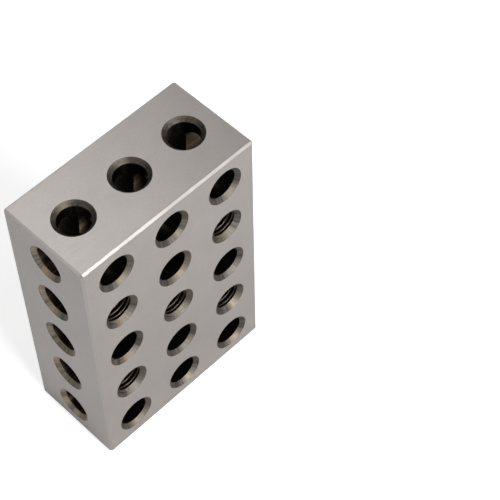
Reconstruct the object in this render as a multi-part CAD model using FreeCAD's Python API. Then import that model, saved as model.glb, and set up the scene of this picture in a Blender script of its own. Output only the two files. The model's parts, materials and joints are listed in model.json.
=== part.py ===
"""Machinist's setup block: a hardened and ground 1 x 2 x 3 inch bar, bored through on all three axes.

The block stands on one small end. Z runs along the 3 inch side, X along the 2 inch side, and Y along
the 1 inch side. The origin is the centre of the end that it stands on. Holes lie on one grid, so the
bores of the three directions meet at the same points inside. Five of the wide-face holes are tapped:
their walls stand here at the tap drill's size, because a thread's helix is a fine form.
"""

import FreeCAD, Part
import math
import os

INCH = 25.4

# Outside sizes, millimetres.
WIDTH = 2 * INCH
THICKNESS = 1 * INCH
HEIGHT = 3 * INCH
EDGE_BREAK = 0.5

# The grid of hole centres: columns run across X, rows run up Z, both about the middle of the block.
COLUMNS = 3
ROWS = 5
COLUMN_PITCH = 16.3
ROW_PITCH = 15.05

# Plain bores, with a countersink at each mouth.
BORE_DIAMETER = 5 / 16 * INCH
SINK_DIAMETER = 10.0

# Tapped bores: 5/16 inch, 24 threads to the inch, over a letter I tap drill, with smaller countersinks.
TAP_DRILL_DIAMETER = 0.272 * INCH
TAPPED_SINK_DIAMETER = 9.4
SINK_ANGLE = 90.0

# How far a cutting tool runs past the face that it starts from.
OVERRUN = 1.0


def column_x(column):
    """X of a column of holes, counted from 0 at the -X side."""
    return (column - (COLUMNS - 1) / 2) * COLUMN_PITCH


def row_z(row):
    """Z of a row of holes, counted from 0 at the bottom."""
    return HEIGHT / 2 + (row - (ROWS - 1) / 2) * ROW_PITCH


def is_tapped(column, row):
    """The tapped holes: the middle one, and those on its diagonals."""
    return abs(column - (COLUMNS - 1) / 2) == abs(row - (ROWS - 1) / 2)


def drill(length, bore_diameter, sink_diameter):
    """A cutting tool for one through hole, about its middle on Z: the bore and a countersink at each mouth."""
    bore = bore_diameter / 2
    sink = sink_diameter / 2
    slope = math.tan(math.radians(SINK_ANGLE / 2))
    end = length / 2
    depth = (sink - bore) / slope
    flare = OVERRUN * slope
    profile = [
        (0, -end - OVERRUN),
        (sink + flare, -end - OVERRUN),
        (bore, -end + depth),
        (bore, end - depth),
        (sink + flare, end + OVERRUN),
        (0, end + OVERRUN),
    ]
    points = [FreeCAD.Vector(radius, 0, along) for radius, along in profile]
    face = Part.Face(Part.makePolygon(points + points[:1]))
    return face.revolve(FreeCAD.Vector(0, 0, 0), FreeCAD.Vector(0, 0, 1), 360)


def placed(tool, direction, centre):
    """A copy of a tool made along Z, turned to another direction about its middle and moved to a centre."""
    turn = FreeCAD.Rotation(FreeCAD.Vector(0, 0, 1), FreeCAD.Vector(*direction))
    copy = tool.copy()
    copy.Placement = FreeCAD.Placement(FreeCAD.Vector(*centre), turn)
    return copy


def thickness_bores():
    """The holes of the wide faces, along Y: plain ones, and the tapped ones among them."""
    plain = drill(THICKNESS, BORE_DIAMETER, SINK_DIAMETER)
    tapped = drill(THICKNESS, TAP_DRILL_DIAMETER, TAPPED_SINK_DIAMETER)
    tools = []
    for column in range(COLUMNS):
        for row in range(ROWS):
            tool = tapped if is_tapped(column, row) else plain
            tools.append(placed(tool, (0, 1, 0), (column_x(column), 0, row_z(row))))
    return tools


def width_bores():
    """The holes of the narrow faces, along X: one to each row."""
    tool = drill(WIDTH, BORE_DIAMETER, SINK_DIAMETER)
    return [placed(tool, (1, 0, 0), (0, 0, row_z(row))) for row in range(ROWS)]


def height_bores():
    """The holes of the ends, along Z: one to each column."""
    tool = drill(HEIGHT, BORE_DIAMETER, SINK_DIAMETER)
    return [placed(tool, (0, 0, 1), (column_x(column), 0, HEIGHT / 2)) for column in range(COLUMNS)]


def ground_bar():
    """The bar itself, with its corners broken all round."""
    corner = FreeCAD.Vector(-WIDTH / 2, -THICKNESS / 2, 0)
    bar = Part.makeBox(WIDTH, THICKNESS, HEIGHT, corner)
    return bar.makeChamfer(EDGE_BREAK, bar.Edges)


def setup_block():
    """The finished block: the bar less every bore."""
    return ground_bar().cut(thickness_bores() + width_bores() + height_bores())


os.makedirs("parts", exist_ok=True)
block = setup_block()
print("solids", len(block.Solids), "valid", block.isValid(), "volume_mm3", round(block.Volume, 1))
block.Solids[0].exportStep("parts/setup_block.step")
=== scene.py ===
"""Looks of a machinist's setup block: a ground steel block, bored, countersunk and tapped, on a pale floor.

The block is bored afresh from the frame's own sizes: a bar with broken corners, less drills along all three
sides and taps with a true helix. Lengths are in metres unless a name says otherwise.
"""

import json
import logging
import math
from dataclasses import dataclass, replace
from enum import Enum

import bmesh
import bpy
from mathutils import Matrix, Vector


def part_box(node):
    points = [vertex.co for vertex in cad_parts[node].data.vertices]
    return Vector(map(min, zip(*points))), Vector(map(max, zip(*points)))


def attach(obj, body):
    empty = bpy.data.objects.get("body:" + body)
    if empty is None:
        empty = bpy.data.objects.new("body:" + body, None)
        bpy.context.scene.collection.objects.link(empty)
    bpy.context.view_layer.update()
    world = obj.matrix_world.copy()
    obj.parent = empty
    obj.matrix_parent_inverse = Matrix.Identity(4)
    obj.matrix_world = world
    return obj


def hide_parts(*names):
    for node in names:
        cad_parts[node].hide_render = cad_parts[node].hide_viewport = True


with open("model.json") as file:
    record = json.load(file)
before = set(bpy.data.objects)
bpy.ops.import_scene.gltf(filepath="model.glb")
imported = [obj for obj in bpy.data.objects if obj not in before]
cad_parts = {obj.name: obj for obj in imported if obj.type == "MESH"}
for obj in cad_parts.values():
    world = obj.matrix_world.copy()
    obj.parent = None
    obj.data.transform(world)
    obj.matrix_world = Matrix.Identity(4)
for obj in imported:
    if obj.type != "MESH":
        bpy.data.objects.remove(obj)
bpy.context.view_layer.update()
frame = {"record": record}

MM = 0.001
INCH = 0.0254
NODE = "setup_block"
WHITE = (1.0, 1.0, 1.0, 1.0)
log = logging.getLogger("setup_block")

Socket = bpy.types.NodeSocket
Sockets = bpy.types.NodeOutputs
Colour = tuple[float, float, float]
Span = tuple[float, float]


class Run(Enum):
    """The side of the block that a hole runs along, with the index of that axis."""

    WIDTH = 0
    THICKNESS = 1
    HEIGHT = 2


class Lay(Enum):
    """The way that grinding lines lie on a face: how closely they are packed along X, Y and Z, per metre."""

    UPRIGHT = (5200.0, 5200.0, 210.0)
    ACROSS = (210.0, 5200.0, 5200.0)


# ---------------------------------------------------------------------------------------------- sizes


@dataclass(frozen=True)
class Envelope:
    """The outside of the block, standing on Z = 0 with its middle on the Z axis."""

    width: float
    thickness: float
    height: float
    edge_break: float = 0.5 * MM

    @classmethod
    def from_frame(cls) -> "Envelope":
        """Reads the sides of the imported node's box.

        Returns:
            The envelope of the node.
        """
        low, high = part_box(NODE)
        return cls(high[0] - low[0], high[1] - low[1], high[2] - low[2])

    def side(self, run: Run) -> float:
        """The length of the side that a hole of this run goes through."""
        return (self.width, self.thickness, self.height)[run.value]

    @property
    def half(self) -> Vector:
        """The distance from the block's middle to each of its sides."""
        return Vector((self.width, self.thickness, self.height)) / 2

    @property
    def middle(self) -> float:
        """Half the height: the level of the middle of the block."""
        return self.height / 2


def runs_along(mount: dict, run: Run) -> bool:
    """Tells whether a mount's axis lies along a side of the block."""
    return round(abs(mount["axis"][run.value])) == 1


@dataclass(frozen=True)
class HoleGrid:
    """The grid of hole centres, and the radii of both drills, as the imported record's mounts state them."""

    columns: int
    rows: int
    column_pitch: float
    row_pitch: float
    bore_radius: float
    tap_drill_radius: float

    @classmethod
    def from_record(cls, mounts: list[dict]) -> "HoleGrid":
        """Works out the grid from the bores of the ends and the narrow sides, and the drills from any hole.

        Args:
            mounts: the record's mounts.

        Returns:
            The grid.
        """
        bores = [mount for mount in mounts if mount["kind"] == "bore"]
        tapped = [mount for mount in mounts if mount["kind"] == "threaded_hole"]
        across = sorted(mount["pos_m"][0] for mount in bores if runs_along(mount, Run.HEIGHT))
        up = sorted(mount["pos_m"][2] for mount in bores if runs_along(mount, Run.WIDTH))
        return cls(
            columns=len(across),
            rows=len(up),
            column_pitch=(across[-1] - across[0]) / (len(across) - 1),
            row_pitch=(up[-1] - up[0]) / (len(up) - 1),
            bore_radius=bores[0]["dims"]["r_mm"] * MM,
            tap_drill_radius=tapped[0]["dims"]["r_mm"] * MM,
        )


# ------------------------------------------------------------------------------------------ node trees


class Graph:
    """A node tree with short calls for adding and linking nodes."""

    def __init__(self, tree: bpy.types.NodeTree) -> None:
        """Takes the tree to add to."""
        self.tree = tree

    def add(self, kind: str, inputs: dict | None = None, **settings: object) -> bpy.types.Node:
        """Adds a node.

        Args:
            kind: the node's type name.
            inputs: socket name or index to a value or a socket to link from.
            settings: the node's own properties.

        Returns:
            The new node.
        """
        node = self.tree.nodes.new(kind)
        for name, value in settings.items():
            setattr(node, name, value)
        for key, value in (inputs or {}).items():
            self.feed(node.inputs[key], value)
        return node

    def feed(self, socket: Socket, value: object) -> None:
        """Links a socket to the one given, or to each in a list, or sets its value.

        Args:
            socket: the input to feed.
            value: an output socket, a list of them, or a plain value.
        """
        if isinstance(value, Socket):
            self.tree.links.new(value, socket)
        elif isinstance(value, list):
            for one in value:
                self.tree.links.new(one, socket)
        else:
            socket.default_value = value

    def math(self, operation: str, *values: object, kind: str = "ShaderNodeMath") -> Socket:
        """Adds a math node and returns its result."""
        return self.add(kind, dict(enumerate(values)), operation=operation).outputs[0]

    def vector(self, operation: str, *values: object) -> Socket:
        """Adds a vector math node and returns its vector."""
        return self.math(operation, *values, kind="ShaderNodeVectorMath")

    def parts(self, vector: Socket) -> list[Socket]:
        """Splits a vector into its three numbers."""
        return list(self.add("ShaderNodeSeparateXYZ", {0: vector}).outputs)

    def combine(self, x: object = 0.0, y: object = 0.0, z: object = 0.0) -> Socket:
        """Joins three numbers into a vector."""
        return self.add("ShaderNodeCombineXYZ", {0: x, 1: y, 2: z}).outputs[0]


class Shader(Graph):
    """A material's node tree, with the patterns that the finishes share."""

    # The Mix node's colour sockets share their names with those for its other types, so they go by number.
    MIX_INPUTS = (0, 6, 7)
    MIX_RESULT = 2

    def __init__(self, name: str) -> None:
        """Makes an empty material of that name.

        Args:
            name: the material's name.
        """
        self.material = bpy.data.materials.new(name)
        self.material.use_nodes = True
        super().__init__(self.material.node_tree)
        self.tree.nodes.clear()

    def place(self) -> Socket:
        """Object coordinates."""
        return self.add("ShaderNodeTexCoord").outputs["Object"]

    def noise(self, place: Socket, scale: float, detail: float, roughness: float) -> Socket:
        """Noise between 0 and 1 at a place."""
        inputs = {"Vector": place, "Scale": scale, "Detail": detail, "Roughness": roughness}
        return self.add("ShaderNodeTexNoise", inputs).outputs[0]

    def spread(self, value: Socket, given: Span, wanted: Span = (0.0, 1.0)) -> Socket:
        """Maps a span of values to another, and holds it at the ends."""
        inputs = dict(enumerate((value, *given, *wanted)))
        return self.add("ShaderNodeMapRange", inputs, clamp=True).outputs[0]

    def blend(self, share: Socket, first: object, second: object) -> Socket:
        """Mixes two colours.

        Args:
            share: how much of the second colour there is.
            first: a colour, or a socket that carries one.
            second: a colour, or a socket that carries one.

        Returns:
            The mixed colour.
        """
        node = self.add("ShaderNodeMix", data_type="RGBA")
        for number, value in zip(self.MIX_INPUTS, (share, first, second)):
            self.feed(node.inputs[number], (*value, 1.0) if isinstance(value, tuple) else value)
        return node.outputs[self.MIX_RESULT]

    def scaled(self, colour: Socket, factor: Socket) -> Socket:
        """Makes a colour lighter or darker by a factor."""
        return self.add("ShaderNodeVectorMath", {0: colour, "Scale": factor}, operation="SCALE").outputs[0]

    def bump(self, height: Socket, distance: float) -> Socket:
        """A normal from a height between 0 and 1."""
        return self.add("ShaderNodeBump", {"Height": height, "Distance": distance}).outputs[0]

    def metal(self, colour: object, roughness: object, normal: Socket | None = None) -> bpy.types.Material:
        """Ends the tree in a metallic surface.

        Args:
            colour: a colour, or a socket that carries one.
            roughness: a number, or a socket that carries one.
            normal: the bumped normal, if there is one.

        Returns:
            The material.
        """
        base = (*colour, 1.0) if isinstance(colour, tuple) else colour
        inputs = {"Base Color": base, "Metallic": 1.0, "Roughness": roughness}
        if normal:
            inputs["Normal"] = normal
        surface = self.add("ShaderNodeBsdfPrincipled", inputs)
        self.add("ShaderNodeOutputMaterial", {"Surface": surface.outputs[0]})
        return self.material


# -------------------------------------------------------------------------------------------- finishes

# Where most of a noise's values lie.
MIDDLE: Span = (0.3, 0.7)


@dataclass(frozen=True)
class GroundFinish:
    """Surface-ground steel: fine lines along one way, and a faint cloudiness."""

    lay: Lay
    colour: Colour = (0.385, 0.360, 0.342)
    worn_colour: Colour = (0.360, 0.335, 0.316)
    roughness: Span = (0.31, 0.41)
    line_depth: float = 0.0004 * MM
    clouds_per_metre: float = 90.0
    grains_per_metre: float = 2600.0
    fleck: Span = (0.94, 1.04)

    def material(self) -> bpy.types.Material:
        """Builds the material.

        Returns:
            The material.
        """
        shader = Shader(f"ground_steel_{self.lay.name.lower()}")
        place = shader.place()
        stretched = shader.vector("MULTIPLY", place, self.lay.value)
        lines = shader.noise(stretched, scale=1.0, detail=3.0, roughness=0.6)
        clouds = shader.noise(place, self.clouds_per_metre, detail=4.0, roughness=0.6)
        grain = shader.noise(place, self.grains_per_metre, detail=2.0, roughness=0.6)
        cloudy = shader.blend(shader.spread(clouds, MIDDLE), self.worn_colour, self.colour)
        colour = shader.scaled(cloudy, shader.spread(grain, (0.25, 0.75), self.fleck))
        rough = shader.spread(lines, (0.2, 0.8), self.roughness)
        return shader.metal(colour, rough, shader.bump(lines, self.line_depth))


@dataclass(frozen=True)
class BrokenEdgeFinish:
    """The narrow bevel along the block's corners: the same steel, rubbed brighter."""

    colour: Colour = (0.40, 0.378, 0.358)
    roughness: Span = (0.28, 0.33)
    rubs_per_metre: float = 300.0

    def material(self) -> bpy.types.Material:
        """Builds the material.

        Returns:
            The material.
        """
        shader = Shader("broken_edge")
        rubbed = shader.noise(shader.place(), self.rubs_per_metre, detail=2.0, roughness=0.5)
        return shader.metal(self.colour, shader.spread(rubbed, MIDDLE, self.roughness))


@dataclass(frozen=True)
class HoleFinish:
    """What the finishes inside a hole share: the hole's run and the grid that it stands on."""

    # How far the noise moves on from one hole to the next, so that no two holes look alike.
    HOLE_SHIFT = 17.3

    run: Run
    grid: HoleGrid
    middle: float

    def around(self, shader: Shader) -> tuple[Socket, Socket]:
        """Finds where a point lies around its own hole's axis.

        Args:
            shader: the tree to add to.

        Returns:
            A unit vector from the axis, and a vector that differs from hole to hole.
        """
        x, y, z = shader.parts(shader.place())
        x_step = shader.math("ROUND", shader.math("DIVIDE", x, self.grid.column_pitch))
        z_up = shader.math("SUBTRACT", z, self.middle)
        z_step = shader.math("ROUND", shader.math("DIVIDE", z_up, self.grid.row_pitch))
        x_off = shader.math("SUBTRACT", x, shader.math("MULTIPLY", x_step, self.grid.column_pitch))
        z_off = shader.math("SUBTRACT", z_up, shader.math("MULTIPLY", z_step, self.grid.row_pitch))
        flat = {
            Run.WIDTH: (0.0, y, z_off),
            Run.THICKNESS: (x_off, 0.0, z_off),
            Run.HEIGHT: (x_off, y, 0.0),
        }[self.run]
        sides = {Run.WIDTH: x, Run.THICKNESS: y, Run.HEIGHT: z_up}[self.run]
        mouth = shader.math("SIGN", sides)
        return shader.vector("NORMALIZE", shader.combine(*flat)), shader.combine(x_step, mouth, z_step)

    def radial_marks(self, shader: Shader, marks: float, detail: float) -> Socket:
        """Noise that changes only around the axis, as chatter marks do, and differs from hole to hole.

        Args:
            shader: the tree to add to.
            marks: how many marks there are to a radian.
            detail: the noise's detail.

        Returns:
            A number between 0 and 1.
        """
        turn, hole = self.around(shader)
        shift = shader.vector("MULTIPLY", hole, (self.HOLE_SHIFT,) * 3)
        moved = shader.vector("MULTIPLY_ADD", turn, (marks,) * 3, shift)
        return shader.noise(moved, 1.0, detail, roughness=0.65)

    def turning_lines(self, shader: Shader, lines: float) -> Socket:
        """Noise that changes only along the axis, as the lines that a cutter leaves round a hole.

        Args:
            shader: the tree to add to.
            lines: how many lines there are to a metre.

        Returns:
            A number between 0 and 1.
        """
        along = shader.parts(shader.place())[self.run.value]
        if self.run is Run.HEIGHT:
            along = shader.math("SUBTRACT", along, self.middle)
        from_middle = shader.combine(shader.math("ABSOLUTE", along))
        return shader.noise(from_middle, lines, detail=1.0, roughness=0.5)


@dataclass(frozen=True)
class CountersinkFinish(HoleFinish):
    """A countersink as its cutter leaves it: brownish grey, with chatter marks, fine turning lines and tan
    patches of painted reflection.
    """

    colour: Colour = (0.120, 0.112, 0.101)
    dark_colour: Colour = (0.040, 0.036, 0.031)
    # Painted reflection: the tan colour, and how much of it shows, of the patches that stand in for light
    # reflected in the cone.
    tan_reflection_colour: Colour = (0.125, 0.102, 0.078)
    tan_reflection_share: float = 0.75
    roughness: Span = (0.48, 0.66)
    marks_per_radian: float = 9.0
    mark_depth: float = 0.03 * MM
    reflection_patches_per_radian: float = 1.3
    lines_per_metre: float = 3500.0

    def material(self) -> bpy.types.Material:
        """Builds the material.

        Returns:
            The material.
        """
        shader = Shader(f"countersink_{self.run.name.lower()}")
        marks = self.radial_marks(shader, self.marks_per_radian, detail=5.0)
        reflection_patches = self.radial_marks(shader, self.reflection_patches_per_radian, detail=1.0)
        lines = self.turning_lines(shader, self.lines_per_metre)
        between_marks = shader.spread(marks, (0.38, 0.62), (0.1, 1.0))
        between_lines = shader.spread(lines, (0.36, 0.52), (0.3, 1.0))
        bright = shader.math("MULTIPLY", between_marks, between_lines)
        # Painted reflection: tan patches around each countersink stand in for light reflected in the cone.
        tan_reflection = shader.spread(reflection_patches, (0.42, 0.66), (0.0, self.tan_reflection_share))
        colour = shader.blend(tan_reflection, shader.blend(bright, self.dark_colour, self.colour), self.tan_reflection_colour)
        rough = shader.spread(marks, MIDDLE, self.roughness)
        return shader.metal(colour, rough, shader.bump(marks, self.mark_depth))


@dataclass(frozen=True)
class BoreFinish(HoleFinish):
    """A drilled wall, dark with oil and scale, with faint streaks along it."""

    colour: Colour = (0.032, 0.026, 0.020)
    streak_colour: Colour = (0.075, 0.064, 0.052)
    roughness: float = 0.38
    streaks_per_radian: float = 3.2
    streak_depth: float = 0.02 * MM

    def material(self) -> bpy.types.Material:
        """Builds the material.

        Returns:
            The material.
        """
        shader = Shader(f"drilled_wall_{self.run.name.lower()}")
        streaks = self.radial_marks(shader, self.streaks_per_radian, detail=3.0)
        colour = shader.blend(shader.spread(streaks, (0.5, 0.75)), self.colour, self.streak_colour)
        return shader.metal(colour, self.roughness, shader.bump(streaks, self.streak_depth))


@dataclass(frozen=True)
class ThreadFinish:
    """Cut thread: dark brown in its grooves as painted shade, lighter on its crests as a painted highlight.
    """

    grid: HoleGrid
    middle: float
    minor_radius: float
    major_radius: float
    # The colour darkens towards the roots as painted shade, and lightens towards the crests as a painted
    # highlight.
    colour: Colour = (0.036, 0.028, 0.022)
    crest_highlight_colour: Colour = (0.085, 0.070, 0.058)
    roughness: float = 0.36

    def material(self) -> bpy.types.Material:
        """Builds the material.

        Returns:
            The material.
        """
        shader = Shader("cut_thread")
        x, _, z = shader.parts(shader.place())
        x = shader.math("WRAP", x, self.grid.column_pitch / 2, -self.grid.column_pitch / 2)
        z = shader.math("SUBTRACT", z, self.middle)
        z = shader.math("WRAP", z, self.grid.row_pitch / 2, -self.grid.row_pitch / 2)
        radius = shader.math("SQRT", shader.math("MULTIPLY_ADD", x, x, shader.math("MULTIPLY", z, z)))
        # Painted shade and highlight: the colour goes from the crests' light tone to the roots' dark one.
        crest = shader.spread(radius, (self.minor_radius, self.major_radius), (1.0, 0.0))
        return shader.metal(shader.blend(crest, self.colour, self.crest_highlight_colour), self.roughness)


# --------------------------------------------------------------------------------------------- cutters


def mesh_from(name: str, points: list[Vector], faces: list[list[int]], slots: list[int]) -> bpy.types.Mesh:
    """Makes a closed mesh whose faces all point outwards.

    Args:
        name: the mesh's name.
        points: its corners.
        faces: the corners of each face.
        slots: the material slot of each face.

    Returns:
        The mesh.
    """
    mesh = bpy.data.meshes.new(name)
    mesh.from_pydata([tuple(point) for point in points], [], faces)
    mesh.polygons.foreach_set("material_index", slots)
    shape = bmesh.new()
    shape.from_mesh(mesh)
    bmesh.ops.recalc_face_normals(shape, faces=shape.faces)
    shape.to_mesh(mesh)
    shape.free()
    return mesh


def lathe(name: str, profile: list[tuple[float, float]], sides: int, slots: list[int]) -> bpy.types.Mesh:
    """Turns a profile about Z into a closed mesh with flat ends.

    Args:
        name: the mesh's name.
        profile: radius and height of each ring, from the bottom up.
        sides: the number of corners in a ring.
        slots: the material slot of each band between two rings, then of the ends.

    Returns:
        The mesh.
    """
    points = []
    for radius, along in profile:
        for step in range(sides):
            turn = math.tau * step / sides
            points.append(Vector((radius * math.cos(turn), radius * math.sin(turn), along)))
    faces, marks = [], []
    for ring in range(len(profile) - 1):
        for step in range(sides):
            here, beside = ring * sides + step, ring * sides + (step + 1) % sides
            faces.append([here, beside, beside + sides, here + sides])
            marks.append(slots[ring])
    last = (len(profile) - 1) * sides
    faces += [list(range(sides))[::-1], list(range(last, last + sides))]
    return mesh_from(name, points, faces, marks + [slots[-1]] * 2)


@dataclass(frozen=True)
class Drill:
    """A cutter for a plain through hole, about its middle on Z: a bore with a countersink at each mouth."""

    length: float
    bore_radius: float
    sink_radius: float
    sink_slope: float = 1.0
    overrun: float = 1.0 * MM
    sides: int = 96

    def mesh(self, name: str) -> bpy.types.Mesh:
        """Builds the cutter, with its bore in slot 0 and its countersinks in slot 1.

        Args:
            name: the mesh's name.

        Returns:
            The mesh.
        """
        end = self.length / 2
        depth = (self.sink_radius - self.bore_radius) / self.sink_slope
        flared = self.sink_radius + self.overrun * self.sink_slope
        profile = [
            (flared, -end - self.overrun),
            (self.bore_radius, -end + depth),
            (self.bore_radius, end - depth),
            (flared, end + self.overrun),
        ]
        return lathe(name, profile, self.sides, [1, 0, 1, 1])


@dataclass(frozen=True)
class MouthCutter:
    """Two countersinks for the mouths of a tapped hole, whose points stay inside the thread."""

    length: float
    sink_radius: float
    inner_radius: float
    overrun: float = 1.0 * MM
    sides: int = 96

    def mesh(self, name: str) -> bpy.types.Mesh:
        """Builds the two cones as one mesh.

        Args:
            name: the mesh's name.

        Returns:
            The mesh.
        """
        end = self.length / 2
        depth = self.sink_radius - self.inner_radius
        flared = self.sink_radius + self.overrun
        profile = [(self.inner_radius, end - depth), (flared, end + self.overrun)]
        cone = lathe(name, profile, self.sides, [0, 0])
        shape = bmesh.new()
        shape.from_mesh(cone)
        twin = bmesh.ops.duplicate(shape, geom=shape.verts[:] + shape.edges[:] + shape.faces[:])
        corners = [part for part in twin["geom"] if isinstance(part, bmesh.types.BMVert)]
        bmesh.ops.rotate(shape, cent=(0, 0, 0), matrix=Matrix.Rotation(math.pi, 3, "X"), verts=corners)
        shape.to_mesh(cone)
        shape.free()
        return cone


@dataclass(frozen=True)
class Tap:
    """A cutter for a right-hand thread, about its middle on Z: one helical ribbon, closed at its ends."""

    length: float
    minor_radius: float
    major_radius: float
    pitch: float
    flank_deg: float = 30.0
    root_share: float = 1 / 8
    spare_turns: int = 2
    sides: int = 64

    def phases(self) -> list[tuple[float, float]]:
        """The ribbon's corners over one pitch: how far along it, as a share, and the radius there.

        Returns:
            The two corners of the crest, then the two of the root.
        """
        flank = (self.major_radius - self.minor_radius) * math.tan(math.radians(self.flank_deg)) / self.pitch
        crest = 1 - 2 * flank - self.root_share
        return [
            (0.0, self.minor_radius),
            (crest, self.minor_radius),
            (crest + flank, self.major_radius),
            (crest + flank + self.root_share, self.major_radius),
        ]

    def mesh(self, name: str) -> bpy.types.Mesh:
        """Builds the cutter.

        Args:
            name: the mesh's name.

        Returns:
            The mesh.
        """
        phases = self.phases()
        turns = math.ceil(self.length / self.pitch) + self.spare_turns
        steps = turns * self.sides
        start = -turns * self.pitch / 2
        points = []
        for step in range(steps + 1):
            turn = math.tau * step / self.sides
            for share, radius in phases:
                along = start + (step / self.sides + share) * self.pitch
                points.append(Vector((radius * math.cos(turn), radius * math.sin(turn), along)))
        count = len(phases)
        last_turn = steps - self.sides

        def corner(step: int, phase: int) -> int:
            """The number of a corner; the one past the last phase is the first of a turn later."""
            return (step + self.sides) * count if phase == count else step * count + phase

        faces = []
        for step in range(last_turn):
            for phase in range(count):
                square = ((step, phase), (step + 1, phase), (step + 1, phase + 1), (step, phase + 1))
                faces.append([corner(*at) for at in square])
        # Past last_turn only the ribbon's first corner is in use. It closes the top.
        low = [corner(step, 0) for step in range(self.sides + 1)]
        low += [corner(0, phase) for phase in range(count - 1, 0, -1)]
        high = [corner(last_turn + step, 0) for step in range(self.sides + 1)]
        high += [corner(last_turn, phase) for phase in range(count - 1, 0, -1)]
        for ring, along in ((low, start - self.pitch), (high, -start + self.pitch)):
            centre = len(points)
            points.append(Vector((0, 0, along)))
            faces += [[centre, ring[place], ring[place - 1]] for place in range(len(ring))]
        used = sorted({number for face in faces for number in face})
        new_number = {number: place for place, number in enumerate(used)}
        faces = [[new_number[number] for number in face] for face in faces]
        return mesh_from(name, [points[number] for number in used], faces, [0] * len(faces))


# ------------------------------------------------------------------------------------------- the block


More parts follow.
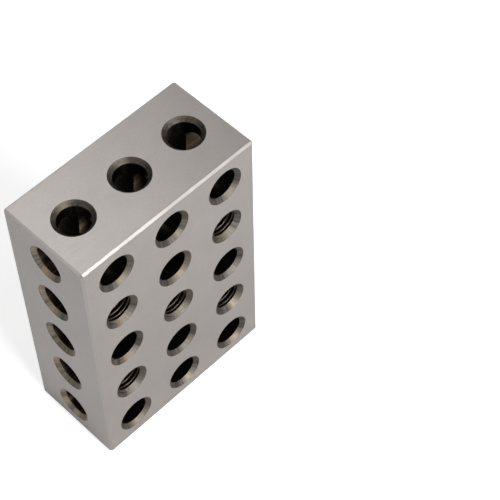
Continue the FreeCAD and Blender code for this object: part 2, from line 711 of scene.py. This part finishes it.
@dataclass
class SetupBlock:
    """The block: a bar with broken corners, bored along all three sides and partly tapped."""

    # How near a diagonal a tapped hole lies, in holes, and how near a flat its faces lie.
    ON_DIAGONAL = 0.1
    IN_FLAT = 0.001 * MM

    envelope: Envelope
    grid: HoleGrid
    sink_radius: float = 5.0 * MM
    tapped_sink_radius: float = 4.7 * MM
    thread_radius: float = 5 / 32 * INCH
    thread_pitch: float = INCH / 24
    smooth_angle_deg: float = 28.0
    flat_angle_deg: float = 1.0

    def build(self) -> bpy.types.Object:
        """Builds the finished piece and hangs it in the frame.

        Returns:
            The piece.
        """
        helpers = self.cutters()
        bar = self.bar()
        modifier = bar.modifiers.new("bores", "NODES")
        modifier.node_group = self.boring_tree()
        self.set_inputs(modifier, helpers)
        graph = bpy.context.evaluated_depsgraph_get()
        mesh = bpy.data.meshes.new_from_object(bar.evaluated_get(graph))
        bar.modifiers.clear()
        mesh.name = "dressed_block"
        bar.data = mesh
        for helper in helpers.values():
            bpy.data.objects.remove(helper)
        self.shade(mesh)
        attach(bar, "root")
        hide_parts(NODE)
        return bar

    def bar(self) -> bpy.types.Object:
        """Builds the bar before boring: the hull of the corners of its six flats.

        Returns:
            The bar, with the broken edges' finish all over.
        """
        env = self.envelope
        shape = bmesh.new()
        for corner in range(8):
            signs = [1 if corner >> axis & 1 else -1 for axis in range(3)]
            for flat in range(3):
                reach = [env.half[axis] - (0 if axis == flat else env.edge_break) for axis in range(3)]
                place = Vector(sign * far for sign, far in zip(signs, reach))
                shape.verts.new(place + Vector((0, 0, env.middle)))
        bmesh.ops.convex_hull(shape, input=shape.verts)
        flatness = math.radians(self.flat_angle_deg)
        bmesh.ops.dissolve_limit(shape, angle_limit=flatness, verts=shape.verts, edges=shape.edges)
        mesh = bpy.data.meshes.new("bar")
        shape.to_mesh(mesh)
        shape.free()
        mesh.materials.append(BrokenEdgeFinish().material())
        piece = bpy.data.objects.new("ground_block", mesh)
        bpy.context.scene.collection.objects.link(piece)
        return piece

    def cutters(self) -> dict[str, bpy.types.Object]:
        """The drills, the tap and its countersinks, each dressed in the finish that it leaves.

        Returns:
            Input name to cutter.
        """
        env, grid = self.envelope, self.grid
        meshes = {}
        sinks = {run: CountersinkFinish(run, grid, env.middle) for run in Run}
        bores = {run: BoreFinish(run, grid, env.middle) for run in Run}
        # The holes in the narrow faces get lighter and warmer copies of the countersink and drilled-wall
        # finishes: painted light and painted tan reflections, for the brighter light that these holes catch.
        sinks[Run.WIDTH] = replace(
            sinks[Run.WIDTH],
            colour=(0.27, 0.240, 0.205),
            dark_colour=(0.10, 0.088, 0.072),
            tan_reflection_colour=(0.40, 0.310, 0.225),
        )
        bores[Run.WIDTH] = replace(
            bores[Run.WIDTH],
            colour=(0.080, 0.062, 0.046),
            streak_colour=(0.26, 0.205, 0.150),
        )
        for run in Run:
            mesh = Drill(env.side(run), grid.bore_radius, self.sink_radius).mesh(f"drill_{run.name.lower()}")
            mesh.materials.append(bores[run].material())
            mesh.materials.append(sinks[run].material())
            meshes[f"{run.name.title()} Drill"] = mesh
        minor, major = grid.tap_drill_radius, self.thread_radius
        tap = Tap(env.thickness, minor, major, self.thread_pitch).mesh("tap")
        tap.materials.append(ThreadFinish(grid, env.middle, minor, major).material())
        meshes["Tap"] = tap
        mouths = MouthCutter(env.thickness, self.tapped_sink_radius, minor / 2).mesh("tapped_mouths")
        mouths.materials.append(meshes["Thickness Drill"].materials[1])
        meshes["Tapped Mouths"] = mouths
        helpers = {}
        for label, mesh in meshes.items():
            helpers[label] = bpy.data.objects.new(mesh.name, mesh)
            bpy.context.scene.collection.objects.link(helpers[label])
        return helpers

    def set_inputs(self, modifier: bpy.types.Modifier, helpers: dict[str, bpy.types.Object]) -> None:
        """Gives the boring tree its sizes, cutters and finishes.

        Args:
            modifier: the modifier that holds the tree.
            helpers: input name to cutter.
        """
        values = {
            "Half Size": self.envelope.half,
            "Columns": self.grid.columns,
            "Rows": self.grid.rows,
            "Column Pitch": self.grid.column_pitch,
            "Row Pitch": self.grid.row_pitch,
            "Side Finish": GroundFinish(Lay.UPRIGHT).material(),
            "End Finish": GroundFinish(Lay.ACROSS).material(),
            **helpers,
        }
        for item in modifier.node_group.interface.items_tree:
            if item.name in values:
                modifier[item.identifier] = values[item.name]

    def boring_tree(self) -> bpy.types.NodeTree:
        """Builds the tree that bores a bar: it cuts away the cutters on the grid, and dresses the flats.

        Returns:
            The node group.
        """
        tree = bpy.data.node_groups.new("bore_block", "GeometryNodeTree")
        face = tree.interface
        face.new_socket("Geometry", in_out="INPUT", socket_type="NodeSocketGeometry")
        face.new_socket("Geometry", in_out="OUTPUT", socket_type="NodeSocketGeometry")
        kinds = {
            "NodeSocketVector": ["Half Size"],
            "NodeSocketInt": ["Columns", "Rows"],
            "NodeSocketFloat": ["Column Pitch", "Row Pitch"],
            "NodeSocketObject": ["Width Drill", "Thickness Drill", "Height Drill", "Tap", "Tapped Mouths"],
            "NodeSocketMaterial": ["Side Finish", "End Finish"],
        }
        for kind, names in kinds.items():
            for name in names:
                face.new_socket(name, in_out="INPUT", socket_type=kind)
        graph = Graph(tree)
        given = graph.add("NodeGroupInput").outputs
        cutters = self._wide_face_cutters(graph, given) + self._side_cutters(graph, given)
        both = {"Mesh 1": given["Geometry"], "Mesh 2": cutters}
        cut = graph.add("GeometryNodeMeshBoolean", both, operation="DIFFERENCE", solver="MANIFOLD")
        whole = graph.add("GeometryNodeRealizeInstances", {"Geometry": cut.outputs["Mesh"]}).outputs[0]
        on_side, on_end = self._flats(graph, given)
        for chosen, finish in ((on_side, "Side Finish"), (on_end, "End Finish")):
            inputs = {"Geometry": whole, "Selection": chosen, "Material": given[finish]}
            whole = graph.add("GeometryNodeSetMaterial", inputs).outputs[0]
        graph.add("NodeGroupOutput", {"Geometry": whole})
        return tree

    @staticmethod
    def _extent(graph: Graph, count: Socket, pitch: Socket) -> Socket:
        """The distance from the first to the last of a row."""
        return graph.math("MULTIPLY", graph.math("SUBTRACT", count, 1.0), pitch)

    def _wide_face_cutters(self, graph: Graph, given: Sockets) -> list[Socket]:
        """Puts drills and taps on the grid of the wide faces. The tapped ones lie on the middle's diagonals.

        Args:
            graph: the boring tree.
            given: the tree's inputs.

        Returns:
            The cutters, one socket to each kind.
        """
        sizes = {
            "Size X": self._extent(graph, given["Columns"], given["Column Pitch"]),
            "Size Y": self._extent(graph, given["Rows"], given["Row Pitch"]),
            "Vertices X": given["Columns"],
            "Vertices Y": given["Rows"],
        }
        centres = graph.add("GeometryNodeMeshGrid", sizes).outputs["Mesh"]
        x, y, _ = graph.parts(graph.add("GeometryNodeInputPosition").outputs[0])
        column = graph.math("ABSOLUTE", graph.math("DIVIDE", x, given["Column Pitch"]))
        row = graph.math("ABSOLUTE", graph.math("DIVIDE", y, given["Row Pitch"]))
        apart = graph.math("ABSOLUTE", graph.math("SUBTRACT", column, row))
        tapped = graph.math("LESS_THAN", apart, self.ON_DIAGONAL)
        plain = graph.math("SUBTRACT", 1.0, tapped)
        lift = graph.combine(0.0, 0.0, graph.parts(given["Half Size"])[2])
        cutters = []
        for name, chosen in (("Thickness Drill", plain), ("Tap", tapped), ("Tapped Mouths", tapped)):
            cutter = graph.add("GeometryNodeObjectInfo", {"Object": given[name]}).outputs["Geometry"]
            inputs = {"Points": centres, "Selection": chosen, "Instance": cutter}
            placed = graph.add("GeometryNodeInstanceOnPoints", inputs).outputs[0]
            turn = {"Geometry": placed, "Translation": lift, "Rotation": (math.pi / 2, 0, 0)}
            cutters.append(graph.add("GeometryNodeTransform", turn).outputs[0])
        return cutters

    def _side_cutters(self, graph: Graph, given: Sockets) -> list[Socket]:
        """Puts one drill to each row along X, and one to each column along Z.

        Args:
            graph: the boring tree.
            given: the tree's inputs.

        Returns:
            The drills along X, then those along Z.
        """
        middle = graph.parts(given["Half Size"])[2]
        lines = (
            ("Width Drill", "Rows", "Row Pitch", 2, (0, math.pi / 2, 0)),
            ("Height Drill", "Columns", "Column Pitch", 0, (0, 0, 0)),
        )
        cutters = []
        for name, count, pitch, axis, turn in lines:
            back = graph.math("MULTIPLY", self._extent(graph, given[count], given[pitch]), -0.5)
            first = [0.0, 0.0, middle]
            first[axis] = graph.math("ADD", back, first[axis])
            step = [0.0, 0.0, 0.0]
            step[axis] = given[pitch]
            start, offset = graph.combine(*first), graph.combine(*step)
            inputs = {"Count": given[count], "Start Location": start, "Offset": offset}
            centres = graph.add("GeometryNodeMeshLine", inputs).outputs[0]
            cutter = graph.add("GeometryNodeObjectInfo", {"Object": given[name]}).outputs["Geometry"]
            inputs = {"Points": centres, "Instance": cutter, "Rotation": turn}
            cutters.append(graph.add("GeometryNodeInstanceOnPoints", inputs).outputs[0])
        return cutters

    def _flats(self, graph: Graph, given: Sockets) -> tuple[Socket, Socket]:
        """Picks the faces that lie in the bar's flats.

        Args:
            graph: the boring tree.
            given: the tree's inputs.

        Returns:
            Whether a face lies in an upright flat, and whether it lies in an end.
        """
        middle = graph.combine(0.0, 0.0, graph.parts(given["Half Size"])[2])
        place = graph.vector("SUBTRACT", graph.add("GeometryNodeInputPosition").outputs[0], middle)
        inside = graph.vector("SUBTRACT", given["Half Size"], graph.vector("ABSOLUTE", place))
        x, y, z = [graph.math("LESS_THAN", gap, self.IN_FLAT) for gap in graph.parts(inside)]
        return graph.math("MAXIMUM", x, y), z

    def shade(self, mesh: bpy.types.Mesh) -> None:
        """Shades round walls smooth, and keeps every real edge sharp."""
        mesh.polygons.foreach_set("use_smooth", [True] * len(mesh.polygons))
        mesh.set_sharp_from_angle(angle=math.radians(self.smooth_angle_deg))
        mesh.update()


# ------------------------------------------------------------------------------------------ the studio


def direction(azimuth_deg: float, elevation_deg: float) -> Vector:
    """Finds the way from the block to a viewer.

    Args:
        azimuth_deg: the angle from -Y towards +X.
        elevation_deg: the angle above the horizon.

    Returns:
        A unit vector.
    """
    azimuth, elevation = math.radians(azimuth_deg), math.radians(elevation_deg)
    flat = math.cos(elevation)
    return Vector((flat * math.sin(azimuth), -flat * math.cos(azimuth), math.sin(elevation)))


@dataclass(frozen=True)
class Softbox:
    """A square white area lamp that faces the block."""

    name: str
    azimuth_deg: float
    elevation_deg: float
    distance: float
    size: float
    watts: float

    def build(self, target: Vector) -> None:
        """Places the lamp.

        Args:
            target: the point that it faces.
        """
        data = bpy.data.lights.new(self.name, "AREA")
        data.shape = "SQUARE"
        data.size = self.size
        data.energy = self.watts
        lamp = bpy.data.objects.new(self.name, data)
        away = direction(self.azimuth_deg, self.elevation_deg)
        lamp.location = target + away * self.distance
        lamp.rotation_euler = away.to_track_quat("Z", "Y").to_euler()
        bpy.context.scene.collection.objects.link(lamp)


@dataclass(frozen=True)
class Studio:
    """Camera, lamps, world and floor."""

    target: Vector = Vector((21.7 * MM, -14.6 * MM, 40.3 * MM))
    azimuth_deg: float = -44.17
    elevation_deg: float = 54.70
    roll_deg: float = -1.30
    distance: float = 386.7 * MM
    field_deg: float = 17.39
    clip_start: float = 10.0 * MM
    floor_size: float = 4.0
    floor_colour: Colour = (0.8, 0.8, 0.8)
    floor_lift: float = 0.5
    sky: float = 0.26
    lamp_target: Vector = Vector((0.0, 0.0, 30.0 * MM))
    lamps: tuple[Softbox, ...] = (
        Softbox("front", azimuth_deg=0.0, elevation_deg=12.0, distance=0.8, size=0.45, watts=14.6),
        Softbox("back", azimuth_deg=165.0, elevation_deg=65.0, distance=0.8, size=0.45, watts=1.3),
        Softbox("edge", azimuth_deg=42.0, elevation_deg=25.0, distance=0.8, size=0.35, watts=0.5),
        Softbox("rim", azimuth_deg=-104.0, elevation_deg=27.0, distance=0.8, size=0.6, watts=1.0),
    )

    def build(self) -> None:
        """Builds everything that isn't part of the block."""
        self.camera()
        for lamp in self.lamps:
            lamp.build(self.lamp_target)
        self.world()
        self.floor()
        bpy.context.scene.view_settings.view_transform = "Standard"

    def camera(self) -> None:
        """A long lens that looks down at the block's front left corner."""
        data = bpy.data.cameras.new("camera")
        data.angle = math.radians(self.field_deg)
        data.clip_start = self.clip_start
        camera = bpy.data.objects.new("camera", data)
        away = direction(self.azimuth_deg, self.elevation_deg)
        turn = away.to_track_quat("Z", "Y").to_matrix().to_4x4()
        roll = Matrix.Rotation(math.radians(self.roll_deg), 4, "Z")
        camera.matrix_world = Matrix.Translation(self.target + away * self.distance) @ turn @ roll
        bpy.context.scene.collection.objects.link(camera)
        bpy.context.scene.camera = camera

    def world(self) -> None:
        """A surround that is white to the camera, and lights the block and the floor softly."""
        world = bpy.data.worlds.new("studio")
        world.use_nodes = True
        graph = Graph(world.node_tree)
        world.node_tree.nodes.clear()
        seen = graph.add("ShaderNodeLightPath").outputs["Is Camera Ray"]
        strength = graph.math("MULTIPLY_ADD", seen, 1.0 - self.sky, self.sky)
        sky = graph.add("ShaderNodeBackground", {"Color": WHITE, "Strength": strength})
        graph.add("ShaderNodeOutputWorld", {"Surface": sky.outputs[0]})
        bpy.context.scene.world = world

    def floor(self) -> None:
        """A plain pale floor that keeps the block's shadow, and is lifted to white only for the camera."""
        half = self.floor_size / 2
        mesh = bpy.data.meshes.new("floor")
        corners = [(-half, -half, 0), (half, -half, 0), (half, half, 0), (-half, half, 0)]
        mesh.from_pydata(corners, [], [(0, 1, 2, 3)])
        floor = bpy.data.objects.new("floor", mesh)
        shader = Shader("white_floor")
        seen = shader.add("ShaderNodeLightPath").outputs["Is Camera Ray"]
        matt = shader.add("ShaderNodeBsdfDiffuse", {"Color": (*self.floor_colour, 1.0)})
        glow = shader.add("ShaderNodeEmission", {"Strength": shader.math("MULTIPLY", seen, self.floor_lift)})
        both = shader.add("ShaderNodeAddShader", {0: matt.outputs[0], 1: glow.outputs[0]})
        shader.add("ShaderNodeOutputMaterial", {"Surface": both.outputs[0]})
        mesh.materials.append(shader.material)
        bpy.context.scene.collection.objects.link(floor)


def main() -> None:
    """Builds the studio and the block, and reports what was made."""
    logging.basicConfig(level=logging.INFO, format="%(name)s: %(message)s")
    Studio().build()
    mounts = frame["record"]["mounts"]
    block = SetupBlock(Envelope.from_frame(), HoleGrid.from_record(mounts)).build()
    log.info("%s: %d faces, %d finishes", block.name, len(block.data.polygons), len(block.data.materials))


if __name__ == "__main__":
    main()
